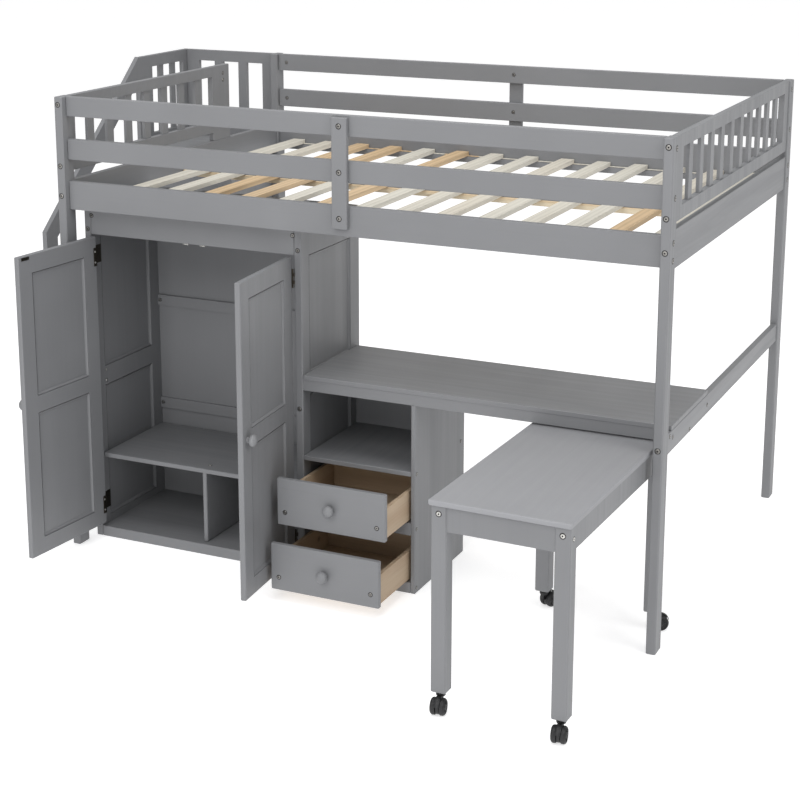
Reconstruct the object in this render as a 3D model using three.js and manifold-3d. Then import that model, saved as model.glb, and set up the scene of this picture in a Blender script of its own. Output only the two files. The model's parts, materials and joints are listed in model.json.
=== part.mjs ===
// Loft bed with desk: high bed on four posts, slatted deck, wardrobe and desk below,
// stairs at the left end, and a table on casters that rolls out from under the desk.
// Units are millimetres, +Z is up, +X runs along the bed and +Y runs to the back.
// The origin is the centre of the front left post's foot.

import * as THREE from 'three';
import { mergeVertices } from 'three/addons/utils/BufferGeometryUtils.js';
import Module from 'manifold-3d';

const wasm = await Module();
wasm.setup();

// ---- driving dimensions ----
const BED_LENGTH = 2019;
const BED_WIDTH = 1465;
const BED_HEIGHT = 1504;
const POST_X = 29;
const POST_Y = 56;
const BOARD = 20; // thickness of rails and guards
const SIDE_SET = 22; // front face of a long rail, behind the front face of its posts
const END_SET = 4.5; // outer face of an end board, inside the outer face of its posts
const EDGE = 1.5; // chamfer on the edges of solid boards
const FIT = 0.3; // clearance where two pieces meet

const DECK_RAIL_BOTTOM = 1140;
const DECK_RAIL_TOP = 1232;
const REAR_DECK_RAIL_TOP = 1262;
const LOWER_GUARD = [1302, 1368];
const UPPER_GUARD_BOTTOM = 1441;
const SLAT_TOP = 1178;
const SLAT_THICK = 16;
const SLAT_WIDE = 50;
const SLAT_PITCH = 138;
const SLAT_FIRST = 94;
const SLAT_COUNT = 14;
const CENTRE_BEAM = 38;
const WEB_WIDE = 13; // strips that the slats are stapled to, one at each end
const WEB_THICK = 2;
const SLAT_REST = SLAT_TOP - SLAT_THICK - WEB_THICK - FIT; // top of the ledgers and the beam

const CASE_FRONT = 101; // front face of the wardrobe and of the desk
const CASE_BACK = 505;
const CASE_TOP = 1136;
const WARDROBE_LEFT = 27;
const WARDROBE_RIGHT = 826;
const CASE_SIDE = 25; // thickness of the framed side panels
const SHELF = 15; // thickness of shelves, dividers and the desk top
const PLINTH = 36;
const CASE_BOARD = 18; // thickness of plinth, header, drawer rails and drawer fronts
const BACK_THICK = 12;
const BATTEN_PROUD = 8;
const BATTENS = [[720, 757], [346, 384]]; // heights of the battens on the wardrobe back
const SIDE_STILES = [50, 66]; // front and rear stile of a framed side
const SIDE_FIELDS = [60, 1040]; // bottom and top of its fields
const SIDE_FIELD_DEEP = 7;
const LEFT_MID_RAIL = [520, 585];
const RIGHT_MID_RAIL = [590, 655];
const HEADER_BOTTOM = 1046;
const DOOR_BOTTOM = 54;
const DOOR_TOP = 1041;
const DOOR_THICK = 18;
const DOOR_GAP = 3;
const DOOR_FRAME = 60;
const DOOR_FIELDS = [[109, 528], [583, 983]]; // heights of the fields of a door
const DOOR_FIELD_DEEP = 6;
const KNOB_RADIUS = 19;
const KNOB_LENGTH = 31;
const KNOB_INSET = 33; // knob axis in from the free edge of the door
const KNOB_Z = 556;
const HINGE_PROUD = 4; // hinge axis in front of the case front
const LEFT_DOOR_OPEN = 95; // degrees from closed, as the doors stand at rest
const RIGHT_DOOR_OPEN = 94.4;

const DESK_TOP = 664;
const DESK_BACK = 490;
const FASCIA_BOTTOM = 615;
const CROSSBAR_BOTTOM = 587; // underside of the rail that carries the end of the desk
const CABINET_RIGHT = 1213.5;
const CABINET_BACK = 490;
const CUBBY_SHELF_TOP = 400;
const DRAWER_HEIGHT = 150;
const UPPER_DRAWER = { bottom: 234.5, out: 181 };
const LOWER_DRAWER = { bottom: 38.5, out: 226 };

const STAIR_WIDTH = 418;
const STAIR_RISE = 290;
const STAIR_RUN = 209;
const LANDING_TOP = 1160;
const LANDING_FRONT = 1098;
const HANDRAIL_WIDE = 66;

const TABLE_CENTRE = [1775, -197];
const TABLE_TURN = -1.5; // degrees, as it stands at rest
const TABLE_SIZE = [400, 812];
const TABLE_TOP = 609;
const TABLE_LEG = 44;
const TABLE_APRON = 72;
const CASTER_HEIGHT = 60;
const WHEEL_RADIUS = 24;
const WHEEL_WIDE = 15;
const CASTER_TRAIL = 24;
// the way each caster trails at rest, in degrees from the table's +x
const CASTER_ANGLE = { front_left: -80, front_right: -80, rear_left: 70, rear_right: 28 };

// ---- materials ----
function paint(color, roughness = 0.55, metalness = 0) {
  return new THREE.MeshStandardMaterial({ color, roughness, metalness });
}
const grey = () => paint(0x8f9092);
const paleGrey = () => paint(0xa5a6a9);
const pine = () => paint(0xd8c49a, 0.7);
const boxPine = () => paint(0xbe9f80, 0.7);
const blackPlastic = () => paint(0x1b1c1e, 0.4);

// ---- solids: closed meshes joined and cut ----
function toSolid(geometry) {
  const bare = geometry.index ? geometry.toNonIndexed() : geometry.clone();
  bare.deleteAttribute('normal');
  bare.deleteAttribute('uv');
  const merged = mergeVertices(bare, 1e-4);
  return new wasm.Manifold(new wasm.Mesh({
    numProp: 3,
    vertProperties: merged.attributes.position.array,
    triVerts: new Uint32Array(merged.index.array),
  }));
}

function toGeometry(solid) {
  const mesh = solid.getMesh();
  const geometry = new THREE.BufferGeometry();
  geometry.setAttribute('position', new THREE.BufferAttribute(mesh.vertProperties, 3));
  geometry.setIndex(new THREE.BufferAttribute(mesh.triVerts, 1));
  const flat = geometry.toNonIndexed();
  flat.computeVertexNormals();
  return flat;
}

// plain block between two corners
function block([x0, x1], [y0, y1], [z0, z1]) {
  const geometry = new THREE.BoxGeometry(x1 - x0, y1 - y0, z1 - z0);
  geometry.translate((x0 + x1) / 2, (y0 + y1) / 2, (z0 + z1) / 2);
  return toSolid(geometry);
}

// board between two corners, with every edge chamfered
function board([x0, x1], [y0, y1], [z0, z1], edge = EDGE) {
  const wide = (x1 - x0) / 2;
  const deep = (y1 - y0) / 2;
  const outline = new THREE.Shape();
  outline.moveTo(-wide + 2 * edge, -deep + edge);
  outline.lineTo(wide - 2 * edge, -deep + edge);
  outline.lineTo(wide - edge, -deep + 2 * edge);
  outline.lineTo(wide - edge, deep - 2 * edge);
  outline.lineTo(wide - 2 * edge, deep - edge);
  outline.lineTo(-wide + 2 * edge, deep - edge);
  outline.lineTo(-wide + edge, deep - 2 * edge);
  outline.lineTo(-wide + edge, -deep + 2 * edge);
  outline.closePath();
  const geometry = new THREE.ExtrudeGeometry(outline, {
    depth: z1 - z0 - 2 * edge,
    bevelEnabled: true,
    bevelThickness: edge,
    bevelSize: edge,
    bevelSegments: 1,
  });
  geometry.translate((x0 + x1) / 2, (y0 + y1) / 2, z0 + edge);
  return toSolid(geometry);
}

// prism standing on an outline of [y, z] points, between two x places
function sidePrism([x0, x1], points) {
  const outline = new THREE.Shape(points.map(([y, z]) => new THREE.Vector2(y, z)));
  const geometry = new THREE.ExtrudeGeometry(outline, { depth: x1 - x0, bevelEnabled: false });
  geometry.rotateX(Math.PI / 2);
  geometry.rotateZ(Math.PI / 2);
  geometry.translate(x0, 0, 0);
  return toSolid(geometry);
}

// round bar along x, y or z, centred on a point
function rod(axis, [x, y, z], radius, length, sides = 24) {
  const geometry = new THREE.CylinderGeometry(radius, radius, length, sides);
  if (axis === 'x') geometry.rotateZ(Math.PI / 2);
  if (axis === 'z') geometry.rotateX(Math.PI / 2);
  geometry.translate(x, y, z);
  return toSolid(geometry);
}

const join = (...solids) => solids.reduce((sum, solid) => sum.add(solid));
const cut = (base, ...tools) => tools.reduce((rest, tool) => rest.subtract(tool), base);

const assembly = new THREE.Group();
assembly.position.set(-POST_X / 2, -POST_Y / 2, 0);

function place(name, solid, material, parent = assembly) {
  const mesh = new THREE.Mesh(toGeometry(solid), material);
  mesh.name = name;
  parent.add(mesh);
  return mesh;
}

// ---- bed frame ----
const railX = [POST_X + FIT, BED_LENGTH - POST_X - FIT];
const endY = [POST_Y + FIT, BED_WIDTH - POST_Y - FIT];
const frontRailY = [SIDE_SET, SIDE_SET + BOARD];
const rearRailY = [BED_WIDTH - SIDE_SET - BOARD, BED_WIDTH - SIDE_SET];
const leftEndX = [END_SET, END_SET + BOARD];
const rightEndX = [BED_LENGTH - END_SET - BOARD, BED_LENGTH - END_SET];
const ledgerZ = [SLAT_REST - 20, SLAT_REST];
const LEDGER_WIDE = 20;

for (const [side, x] of [['left', 0], ['right', BED_LENGTH - POST_X]]) {
  for (const [end, y] of [['front', 0], ['rear', BED_WIDTH - POST_Y]]) {
    const solid = board([x, x + POST_X], [y, y + POST_Y], [0, BED_HEIGHT], 2);
    place(`post_${end}_${side}`, solid, grey());
  }
}

// long deck rails, each with the ledger that carries the slats glued to its inner face
const frontLedger = block(railX, [frontRailY[1] - 1, frontRailY[1] + LEDGER_WIDE], ledgerZ);
const rearLedger = block(railX, [rearRailY[0] - LEDGER_WIDE, rearRailY[0] + 1], ledgerZ);
const frontDeckRail = board(railX, frontRailY, [DECK_RAIL_BOTTOM, DECK_RAIL_TOP]);
const rearDeckRail = board(railX, rearRailY, [DECK_RAIL_BOTTOM, REAR_DECK_RAIL_TOP]);
place('deck_rail_front', join(frontDeckRail, frontLedger), grey());
place('deck_rail_rear', join(rearDeckRail, rearLedger), grey());
place('deck_rail_left', board(leftEndX, endY, [DECK_RAIL_BOTTOM, DECK_RAIL_TOP]), grey());
place('deck_rail_right', board(rightEndX, endY, [DECK_RAIL_BOTTOM - 10, 1243]), grey());

// long guard rails and the stiles screwed to their outer faces
const MID_LENGTH = BED_LENGTH / 2 - 3;
const STILE_WIDE = 50;
const STILE_THICK = 18;
const stileX = [MID_LENGTH - STILE_WIDE / 2, MID_LENGTH + STILE_WIDE / 2];
const upperGuardZ = [UPPER_GUARD_BOTTOM, BED_HEIGHT];
const stileZ = [1164, 1498];
for (const [side, y, out] of [['front', frontRailY, -1], ['rear', rearRailY, 1]]) {
  place(`guard_${side}_upper`, board(railX, y, upperGuardZ), grey());
  place(`guard_${side}_lower`, board(railX, y, LOWER_GUARD), grey());
  const face = out < 0 ? y[0] - FIT : y[1] + FIT;
  const stileY = out < 0 ? [face - STILE_THICK, face] : [face, face + STILE_THICK];
  place(`guard_${side}_stile`, board(stileX, stileY, stileZ), grey());
}

// spindled panel: a board with a row of openings through it along y
function spindledPanel(x, [y0, y1], [z0, z1], { first, last, bars, barWide, top, bottom }) {
  const openings = bars + 1;
  const gap = (y1 - y0 - first - last - bars * barWide) / openings;
  const tools = [];
  for (let i = 0; i < openings; i += 1) {
    const start = y0 + first + i * (gap + barWide);
    tools.push(block([x[0] - 5, x[1] + 5], [start, start + gap], [z0 + bottom, z1 - top]));
  }
  const thin = 5; // each face of a spindle stands back from the frame
  const field = [y0 + Math.max(first, 1), y1 - last];
  const back = block([x[0] - 5, x[0] + thin], field, [z0 + bottom, z1 - top]);
  const front = block([x[1] - thin, x[1] + 5], field, [z0 + bottom, z1 - top]);
  return cut(board(x, [y0, y1], [z0, z1]), ...tools, back, front);
}

const END_GUARD_BOTTOM = 1262;
const spindles = { barWide: 37, bottom: 40, top: 37 };
const rightGuard = spindledPanel(rightEndX, endY, [END_GUARD_BOTTOM, BED_HEIGHT],
  { ...spindles, first: 60, last: 60, bars: 10 });
place('end_guard_right', rightGuard, grey());
const LEFT_GUARD_END = 1052; // the way in from the stairs is behind this
const leftGuard = spindledPanel(leftEndX, [endY[0], LEFT_GUARD_END], [END_GUARD_BOTTOM, BED_HEIGHT],
  { ...spindles, first: 20, last: 120, bars: 7 });
const leftGuardFoot = board(leftEndX, [LEFT_GUARD_END - 120, LEFT_GUARD_END],
  [DECK_RAIL_TOP + FIT, BED_HEIGHT]);
place('end_guard_left', join(leftGuard, leftGuardFoot), grey());

// centre beam between the end rails, and the two rows of slats
const beamY = [BED_WIDTH / 2 - CENTRE_BEAM / 2, BED_WIDTH / 2 + CENTRE_BEAM / 2];
const beamX = [leftEndX[1] + FIT, rightEndX[0] - FIT];
const beamZ = [DECK_RAIL_BOTTOM, SLAT_REST];
place('centre_beam', board(beamX, beamY, beamZ), pine());

function slatRow(y) {
  const slats = [];
  for (let i = 0; i < SLAT_COUNT; i += 1) {
    const x = SLAT_FIRST + i * SLAT_PITCH;
    slats.push(board([x, x + SLAT_WIDE], y, [SLAT_TOP - SLAT_THICK, SLAT_TOP], 1));
  }
  const last = SLAT_FIRST + (SLAT_COUNT - 1) * SLAT_PITCH + SLAT_WIDE;
  const under = SLAT_TOP - SLAT_THICK;
  for (const strip of [[y[0] + 1, y[0] + 1 + WEB_WIDE], [y[1] - 1 - WEB_WIDE, y[1] - 1]]) {
    slats.push(block([SLAT_FIRST + 4, last - 4], strip, [under - WEB_THICK, under + 1.5]));
  }
  return join(...slats);
}
const SLAT_GAP = 3;
place('slats_front', slatRow([frontRailY[1] + SLAT_GAP, BED_WIDTH / 2 - SLAT_GAP]), pine());
place('slats_rear', slatRow([BED_WIDTH / 2 + SLAT_GAP, rearRailY[0] - SLAT_GAP]), pine());

// rail between the right-hand posts that carries the end of the desk
const crossbarZ = [CROSSBAR_BOTTOM, DESK_TOP - SHELF - FIT];
place('desk_crossbar', board(rightEndX, endY, crossbarZ), grey());

// ---- stairs at the left end ----
const STAIR_RIGHT = -2;
const STRINGER = 18;
const outerX = [-STAIR_WIDTH, -STAIR_WIDTH + STRINGER];
const innerX = [STAIR_RIGHT - STRINGER, STAIR_RIGHT];
const stairFront = LANDING_FRONT - 3 * STAIR_RUN;
const stairBack = BED_WIDTH - 2;
const TREAD_THICK = 20;
const TREAD_NOSE = 16;
const tiers = 3;

const profile = [[stairFront, 0]];
for (let i = 0; i < tiers; i += 1) {
  const y = stairFront + i * STAIR_RUN;
  const z = (i + 1) * STAIR_RISE - TREAD_THICK - FIT;
  profile.push([y, z], [y + STAIR_RUN, z]);
}
profile.push([LANDING_FRONT, LANDING_TOP - TREAD_THICK - FIT]);
profile.push([stairBack, LANDING_TOP - TREAD_THICK - FIT], [stairBack, 0]);
// an arched cut-out leaves feet at the front and the back of each side
const archTop = 200;
const archFront = stairFront + 70;
const archBack = stairBack - 70;
const archCorner = 60;
const arch = [[archFront, -5], [archFront, archTop - archCorner], [archFront + archCorner, archTop],
  [archBack - archCorner, archTop], [archBack, archTop - archCorner], [archBack, -5]];
for (const [name, x] of [['outer', outerX], ['inner', innerX]]) {
  const wide = [x[0] - 5, x[1] + 5];
  place(`stair_side_${name}`, cut(sidePrism(x, profile), sidePrism(wide, arch)), grey());
}

for (let i = 0; i < tiers; i += 1) {
  const top = (i + 1) * STAIR_RISE;
  const y = stairFront + i * STAIR_RUN;
  const tread = board([outerX[0], innerX[1]], [y - TREAD_NOSE, y + STAIR_RUN - FIT],
    [top - TREAD_THICK, top], 2);
  // riser under the nose, between the sides, down to the tread in front
  const foot = i === 0 ? archTop - archCorner : top - STAIR_RISE + FIT;
  const riser = block([outerX[1] + FIT, innerX[0] - FIT], [y + 2, y + 17],
    [foot, top - TREAD_THICK + 1]);
  place(`stair_tread_${i + 1}`, join(tread, riser), grey());
}
const landing = board([outerX[0], innerX[1]], [LANDING_FRONT - TREAD_NOSE, stairBack],
  [LANDING_TOP - TREAD_THICK, LANDING_TOP], 2);
const landingRiser = block([outerX[1] + FIT, innerX[0] - FIT], [LANDING_FRONT + 2, LANDING_FRONT + 17],
  [tiers * STAIR_RISE + FIT, LANDING_TOP - TREAD_THICK + 1]);
place('stair_landing', join(landing, landingRiser), grey());

// guards on the left and the back of the landing; the left one runs into the handrail
const GUARD_THICK = 18;
const guardOuterX = [-STAIR_WIDTH, -STAIR_WIDTH + GUARD_THICK];
const landingGuardZ = [LANDING_TOP + FIT, BED_HEIGHT - 2];
const leftLandingGuard = spindledPanel(guardOuterX, [LANDING_FRONT, stairBack], landingGuardZ,
  { first: 94, last: 46, bars: 2, barWide: 34, top: 44, bottom: 40 });
// the same panel with its openings in a row along x
function backPanel(y, [x0, x1], [z0, z1], { first, last, bars, barWide, top, bottom }) {
  const gap = (x1 - x0 - first - last - bars * barWide) / (bars + 1);
  const tools = [];
  for (let i = 0; i <= bars; i += 1) {
    const start = x0 + first + i * (gap + barWide);
    tools.push(block([start, start + gap], [y[0] - 5, y[1] + 5], [z0 + bottom, z1 - top]));
  }
  return cut(board([x0, x1], y, [z0, z1]), ...tools);
}
const rearGuardX = [guardOuterX[1] + FIT, -FIT];
place('landing_guard_rear', backPanel([stairBack - GUARD_THICK, stairBack], rearGuardX, landingGuardZ,
  { first: 56, last: 56, bars: 2, barWide: 36, top: 42, bottom: 40 }), grey());

// handrail: a sloping board mitred to an upright newel, outside the stair side
const railFoot = stairFront;
const railFall = (BED_HEIGHT - 2 - 940) / (LANDING_FRONT - railFoot);
const railDrop = HANDRAIL_WIDE * Math.hypot(1, railFall);
const railTop = (y) => BED_HEIGHT - 2 - railFall * (LANDING_FRONT - y);
const newelBack = railFoot + HANDRAIL_WIDE;
const railBack = LANDING_FRONT + 2;
const newelBottom = STAIR_RISE + FIT;
const handrail = sidePrism(guardOuterX, [
  [railFoot, newelBottom],
  [newelBack, newelBottom],
  [newelBack, railTop(newelBack) - railDrop],
  [railBack, railTop(railBack) - railDrop],
  [railBack, railTop(railBack)],
  [railFoot, railTop(railFoot)],
]);
place('stair_handrail', join(handrail, leftLandingGuard), grey());

// ---- wardrobe ----
const caseY = [CASE_FRONT, CASE_BACK];
const leftSideX = [WARDROBE_LEFT, WARDROBE_LEFT + CASE_SIDE - 1];
const rightSideX = [WARDROBE_RIGHT - CASE_SIDE, WARDROBE_RIGHT];
const insideX = [leftSideX[1] + FIT, rightSideX[0] - FIT];

// framed side: a thick board with fields let into both of its faces
function framedSide(x, midRail) {
  const field = SIDE_FIELD_DEEP;
  const stiles = [caseY[0] + SIDE_STILES[0], caseY[1] - SIDE_STILES[1]];
  const tools = [];
  for (const z of [[SIDE_FIELDS[0], midRail[0]], [midRail[1], SIDE_FIELDS[1]]]) {
    tools.push(block([x[0] - 5, x[0] + field], stiles, z));
    tools.push(block([x[1] - field, x[1] + 5], stiles, z));
  }
  return cut(board(x, caseY, [0, CASE_TOP]), ...tools);
}
place('wardrobe_side_left', framedSide(leftSideX, LEFT_MID_RAIL), grey());
place('wardrobe_side_right', framedSide(rightSideX, RIGHT_MID_RAIL), grey());

// back with two battens across its inner face
const backY = [CASE_BACK - BACK_THICK, CASE_BACK];
const battenFront = backY[0] - BATTEN_PROUD;
const backSheet = block(insideX, backY, [0, CASE_TOP]);
const battens = BATTENS.map((z) => block(insideX, [battenFront, backY[0] + 1], z));
place('wardrobe_back', join(backSheet, ...battens), grey());

// front header with the top panel behind it
const header = board(insideX, [CASE_FRONT, CASE_FRONT + CASE_BOARD], [HEADER_BOTTOM, CASE_TOP]);
const topPanel = block(insideX, [CASE_FRONT + CASE_BOARD - 1, backY[0] - FIT], [CASE_TOP - SHELF, CASE_TOP - 1]);
place('wardrobe_header', join(header, topPanel), grey());

const plinth = board(insideX, [CASE_FRONT, CASE_FRONT + CASE_BOARD], [0, PLINTH]);
const floorPanel = block(insideX, [CASE_FRONT + CASE_BOARD - 1, backY[0] - FIT], [PLINTH - SHELF, PLINTH - 1]);
const rearFoot = block(insideX, [backY[0] - FIT - CASE_BOARD, backY[0] - FIT], [0, PLINTH - SHELF + 1]);
place('wardrobe_bottom', join(plinth, floorPanel, rearFoot), grey());

// low shelf with the divider under it
const WARDROBE_SHELF_TOP = 289;
const DIVIDER_X = [436, 436 + SHELF];
const inner = [CASE_FRONT + 24, battenFront - FIT];
const lowShelf = board(insideX, inner, [WARDROBE_SHELF_TOP - SHELF, WARDROBE_SHELF_TOP]);
const divider = board(DIVIDER_X, inner, [PLINTH + FIT, WARDROBE_SHELF_TOP - SHELF + 2]);
place('wardrobe_shelf', join(lowShelf, divider), grey());

// ---- wardrobe doors, each turned about its own hinge axis ----
const hingeY = CASE_FRONT - HINGE_PROUD;
const caseMiddle = (leftSideX[1] + rightSideX[0]) / 2;
const leftHingeX = leftSideX[1] + DOOR_GAP / 2;
const rightHingeX = rightSideX[0] - DOOR_GAP / 2;
const doorWide = caseMiddle - leftSideX[1] - 1.5 * DOOR_GAP;

// door in the frame of its hinge, closed, reaching away along +x or -x
function doorSolid(way) {
  const along = (near, far) => (way > 0 ? [near, far] : [-far, -near]);
  const start = DOOR_GAP / 2;
  const y = [HINGE_PROUD, HINGE_PROUD + DOOR_THICK];
  const fieldX = along(start + DOOR_FRAME, start + doorWide - DOOR_FRAME);
  const tools = [];
  for (const z of DOOR_FIELDS) {
    tools.push(block(fieldX, [y[0] - 5, y[0] + DOOR_FIELD_DEEP], z));
    tools.push(block(fieldX, [y[1] - DOOR_FIELD_DEEP, y[1] + 5], z));
  }
  const slab = board(along(start, start + doorWide), y, [DOOR_BOTTOM, DOOR_TOP]);
  return cut(slab, ...tools);
}

// round knob with a neck, turned about y, pointing to -y from y = 0
function knobSolid() {
  const radius = KNOB_RADIUS;
  const points = [new THREE.Vector2(0, 0), new THREE.Vector2(8.5, 0), new THREE.Vector2(7.5, 10)];
  const arcs = 7;
  const middle = KNOB_LENGTH - radius * 0.72;
  for (let i = 0; i <= arcs; i += 1) {
    const turn = -0.9 + (i / arcs) * (0.9 + Math.PI / 2);
    points.push(new THREE.Vector2(radius * Math.cos(turn), middle + radius * 0.72 * Math.sin(turn)));
  }
  points[points.length - 1].x = 0;
  const geometry = new THREE.LatheGeometry(points, 24);
  geometry.rotateX(Math.PI);
  return toSolid(geometry);
}

for (const [side, x, way, turn] of [
  ['left', leftHingeX, 1, -LEFT_DOOR_OPEN],
  ['right', rightHingeX, -1, RIGHT_DOOR_OPEN],
]) {
  const hinge = new THREE.Group();
  hinge.position.set(x, hingeY, 0);
  hinge.rotation.z = THREE.MathUtils.degToRad(turn);
  assembly.add(hinge);
  place(`wardrobe_door_${side}`, doorSolid(way), grey(), hinge);
  const knob = place(`door_knob_${side}`, knobSolid(), grey(), hinge);
  knob.position.set(way * (DOOR_GAP / 2 + doorWide - KNOB_INSET), HINGE_PROUD - FIT, KNOB_Z);
}

// ---- desk and its drawer cabinet ----
const deskX = [rightSideX[1] + FIT, BED_LENGTH - END_SET];
const deskUnder = DESK_TOP - SHELF;
const fasciaX = [deskX[0], rightEndX[0] - FIT];
const fasciaY = [CASE_FRONT + 2, CASE_FRONT + 20];
const deskBoard = board(deskX, [CASE_FRONT, DESK_BACK], [deskUnder, DESK_TOP]);
const fascia = block(fasciaX, fasciaY, [FASCIA_BOTTOM, deskUnder + 1]);
place('desk_top', join(deskBoard, fascia), grey());

// the side of the cabinet is notched at its front corner for the fascia
const cabinetX = [CABINET_RIGHT - SHELF, CABINET_RIGHT];
const bayX = [rightSideX[1] + FIT, cabinetX[0] - FIT];
const cabinetTop = deskUnder - FIT;
const notch = block([cabinetX[0] - 5, cabinetX[1] + 5], [CASE_FRONT - 5, fasciaY[1] + FIT],
  [FASCIA_BOTTOM - FIT, DESK_TOP]);
const cabinetSide = cut(board(cabinetX, [CASE_FRONT, CABINET_BACK], [0, cabinetTop]), notch);
place('cabinet_side', cabinetSide, grey());
const cabinetBackY = [CABINET_BACK - BACK_THICK, CABINET_BACK];
place('cabinet_back', block(bayX, cabinetBackY, [0, cabinetTop]), grey());
const bayBack = cabinetBackY[0] - FIT;
const cubbyZ = [CUBBY_SHELF_TOP - SHELF, CUBBY_SHELF_TOP];
place('cubby_shelf', board(bayX, [CASE_FRONT, bayBack], cubbyZ), grey());

// drawer runners: front rail and two side runners for each drawer, in one frame
const RUNNER_WIDE = 20;
function runnerFrame([z0, z1]) {
  const rail = board(bayX, [CASE_FRONT, CASE_FRONT + CASE_BOARD], [z0, z1]);
  const runnerZ = [z1 - 14, z1 - 2];
  const left = block([bayX[0], bayX[0] + RUNNER_WIDE], [CASE_FRONT + CASE_BOARD - 1, bayBack], runnerZ);
  const right = block([bayX[1] - RUNNER_WIDE, bayX[1]], [CASE_FRONT + CASE_BOARD - 1, bayBack], runnerZ);
  return join(rail, left, right);
}
place('drawer_rail_middle', runnerFrame([192, 232.5]), grey());
place('drawer_rail_bottom', runnerFrame([0, PLINTH]), grey());

// drawer: front, pine box and knob, shut with its front level with the case front
const FRONT_GAP = 1.5;
const frontX = [bayX[0] + FRONT_GAP, bayX[1] - FRONT_GAP];
const BOX_WALL = 12;
const BOX_HEIGHT = 95;
const BOX_GAP = 8;
for (const [level, { bottom, out }] of [['upper', UPPER_DRAWER], ['lower', LOWER_DRAWER]]) {
  const drawer = new THREE.Group();
  drawer.position.y = -out;
  assembly.add(drawer);
  const frontY = [CASE_FRONT, CASE_FRONT + CASE_BOARD];
  place(`drawer_front_${level}`, board(frontX, frontY, [bottom, bottom + DRAWER_HEIGHT], 2),
    grey(), drawer);
  const boxX = [bayX[0] + BOX_GAP, bayX[1] - BOX_GAP];
  const boxY = [frontY[1] + FIT, bayBack - 12];
  const boxZ = [bottom + 5, bottom + 5 + BOX_HEIGHT];
  const hollow = block([boxX[0] + BOX_WALL, boxX[1] - BOX_WALL], [boxY[0] + BOX_WALL, boxY[1] - BOX_WALL],
    [boxZ[0] + 10, boxZ[1] + 5]);
  const recess = block([boxX[0] + BOX_WALL, boxX[1] - BOX_WALL], [boxY[0] + BOX_WALL, boxY[1] - BOX_WALL],
    [boxZ[0] - 5, boxZ[0] + 5]);
  place(`drawer_box_${level}`, cut(board(boxX, boxY, boxZ, 1), hollow, recess), boxPine(), drawer);
  const knob = place(`drawer_knob_${level}`, knobSolid(), grey(), drawer);
  knob.position.set((frontX[0] + frontX[1]) / 2, CASE_FRONT - FIT, bottom + DRAWER_HEIGHT / 2);
}

// ---- rolling table, in its own turned frame ----
const table = new THREE.Group();
table.position.set(TABLE_CENTRE[0], TABLE_CENTRE[1], 0);
table.rotation.z = THREE.MathUtils.degToRad(TABLE_TURN);
assembly.add(table);

const halfX = TABLE_SIZE[0] / 2;
const halfY = TABLE_SIZE[1] / 2;
place('table_top', board([-halfX, halfX], [-halfY, halfY], [TABLE_TOP - SHELF, TABLE_TOP], 2.5),
  paleGrey(), table);

// legs and aprons, glued into one frame
const legX = halfX - 5;
const legY = halfY - 11;
const legTop = TABLE_TOP - SHELF - FIT;
const frameParts = [];
for (const sx of [-1, 1]) {
  for (const sy of [-1, 1]) {
    const x = sx < 0 ? [-legX, -legX + TABLE_LEG] : [legX - TABLE_LEG, legX];
    const y = sy < 0 ? [-legY, -legY + TABLE_LEG] : [legY - TABLE_LEG, legY];
    frameParts.push(board(x, y, [CASTER_HEIGHT, legTop], 2));
  }
}
const APRON_SET = 4;
const APRON_THICK = 18;
const apronZ = [legTop - TABLE_APRON, legTop];
for (const side of [-1, 1]) {
  const outX = side * (legX - APRON_SET);
  const outY = side * (legY - APRON_SET);
  const x = side < 0 ? [outX, outX + APRON_THICK] : [outX - APRON_THICK, outX];
  const y = side < 0 ? [outY, outY + APRON_THICK] : [outY - APRON_THICK, outY];
  frameParts.push(block(x, [-legY + TABLE_LEG - 2, legY - TABLE_LEG + 2], apronZ));
  frameParts.push(block([-legX + TABLE_LEG - 2, legX - TABLE_LEG + 2], y, apronZ));
}
place('table_frame', join(...frameParts), grey(), table);

// twin-wheel caster with its swivel axis on z; the wheels trail along +y
const WEB = 12; // middle of the hood, between the wheels
const AXLE = 4;
function casterHousing() {
  const half = (WEB - 1) / 2;
  const stem = rod('z', [0, 0, 54.5], 9, 10);
  const crown = rod('z', [0, CASTER_TRAIL / 2, 50.5], 20, 4);
  const hood = rod('x', [0, CASTER_TRAIL, WHEEL_RADIUS], WHEEL_RADIUS - 4, WEB - 1);
  const neck = block([-half, half], [-12, CASTER_TRAIL], [26, 50]);
  const bore = rod('x', [0, CASTER_TRAIL, WHEEL_RADIUS], AXLE + 0.6, WEB + 20);
  return cut(join(stem, crown, hood, neck), bore);
}
function casterWheels() {
  const axle = rod('x', [0, 0, 0], AXLE, WEB + 4);
  const wheels = [-1, 1].map((side) => {
    const centre = side * (WEB + WHEEL_WIDE) / 2;
    const tyre = rod('x', [centre, 0, 0], WHEEL_RADIUS, WHEEL_WIDE - 4, 32);
    const rim = rod('x', [centre, 0, 0], WHEEL_RADIUS - 2, WHEEL_WIDE, 32);
    return join(tyre, rim);
  });
  return join(axle, ...wheels);
}
for (const [side, sx] of [['left', -1], ['right', 1]]) {
  for (const [end, sy] of [['front', -1], ['rear', 1]]) {
    const corner = `${end}_${side}`;
    const caster = new THREE.Group();
    caster.position.set(sx * (legX - TABLE_LEG / 2), sy * (legY - TABLE_LEG / 2), 0);
    caster.rotation.z = THREE.MathUtils.degToRad(CASTER_ANGLE[corner] - 90);
    table.add(caster);
    place(`caster_housing_${corner}`, casterHousing(), blackPlastic(), caster);
    const wheels = place(`caster_wheels_${corner}`, casterWheels(), blackPlastic(), caster);
    wheels.position.set(0, CASTER_TRAIL, WHEEL_RADIUS);
  }
}

export default assembly;
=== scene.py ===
# Loft bed with desk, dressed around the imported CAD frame.
# Lengths are metres in the row frame: +X along the bed, +Y to the back, +Z up.

import json
import math

import bmesh
import bpy
from mathutils import Matrix, Vector


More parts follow.
